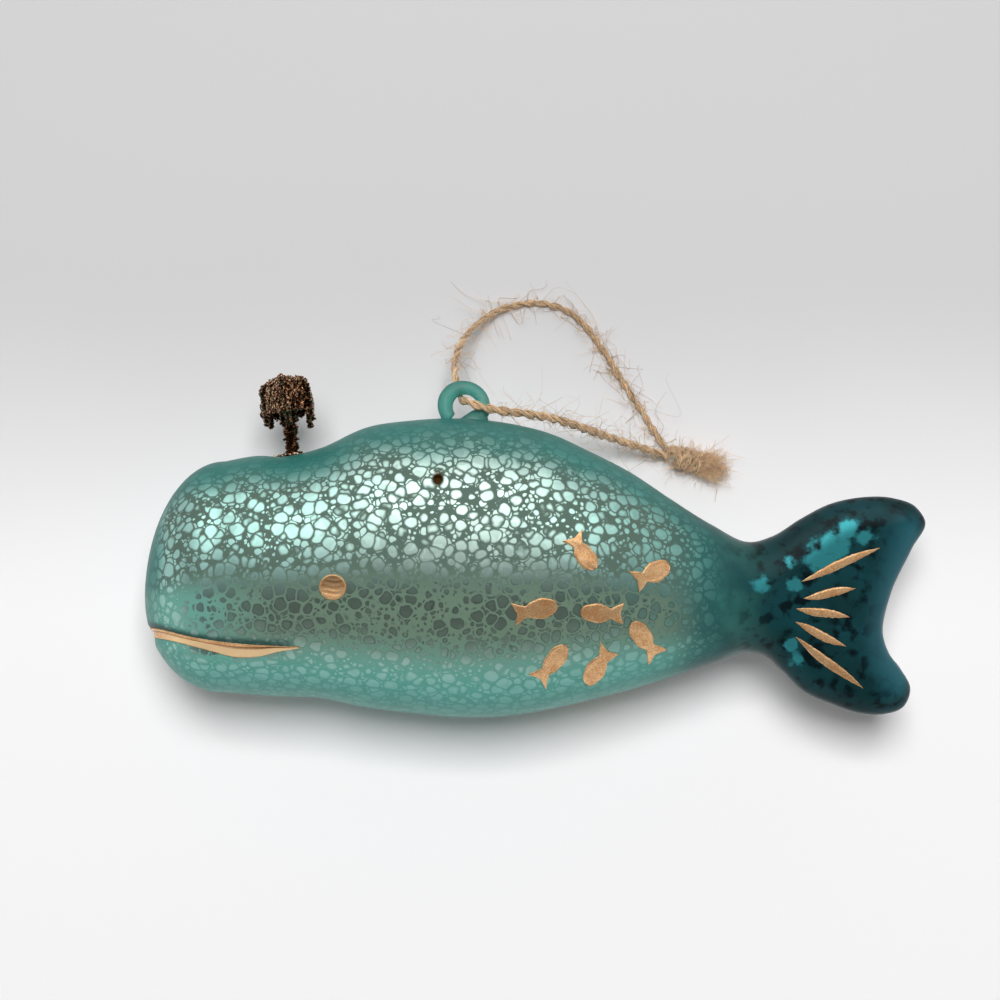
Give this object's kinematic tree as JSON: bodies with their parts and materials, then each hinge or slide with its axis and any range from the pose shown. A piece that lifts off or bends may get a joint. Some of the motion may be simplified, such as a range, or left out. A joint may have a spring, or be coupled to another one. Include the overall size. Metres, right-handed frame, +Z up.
{
  "type": "whale ornament",
  "caption": "Hollow blown-glass whale ornament with a curled wire spout in its blowhole, gold marks and a glass ring that carries a knotted twine hanger.",
  "frame": {"origin": "on the floor under the middle of the whale's box, without the twine", "axes": "+X from nose to tail, +Y from belly to back, +Z up through the left flank; the whale lies on its right flank"},
  "size_m": [0.1801, 0.1031, 0.056],
  "materials": {
    "teal_glass": "satin, silvered in speckles behind the glass",
    "ring_glass": "frosted",
    "bronze_wire": "crinkled, dark bronze",
    "gilt": "grainy gold paint",
    "glue": "cured glue",
    "jute": "two-ply jute twine, frayed ends"
  },
  "bodies": {
    "whale": {"glass_body": "teal_glass", "hanging_ring": "ring_glass", "spout_glue": "glue", "spout_pad": "bronze_wire", "spout_core": "bronze_wire", "spout_winding": "bronze_wire", "spout_arm_1": "bronze_wire", "spout_arm_2": "bronze_wire", "spout_arm_3": "bronze_wire", "spout_arm_4": "bronze_wire", "spout_arm_5": "bronze_wire", "spout_arm_6": "bronze_wire", "gilt_mouth": "gilt", "gilt_eye_left": "gilt", "gilt_eye_right": "gilt", "gilt_fish_left": "gilt", "gilt_fish_right": "gilt", "gilt_tail_left": "gilt", "gilt_tail_right": "gilt"},
    "hanger": {"twine_loop": "jute", "twine_knot": "jute", "twine_tail_a": "jute", "twine_tail_b": "jute"}
  },
  "joints": [
    {"name": "hanger_swing", "type": "hinge", "parent": "whale", "child": "hanger", "pos_m": [-0.01662, 0.0324, 0.028], "axis": [0, 0, 1], "range_deg": [0, 75]}
  ]
}
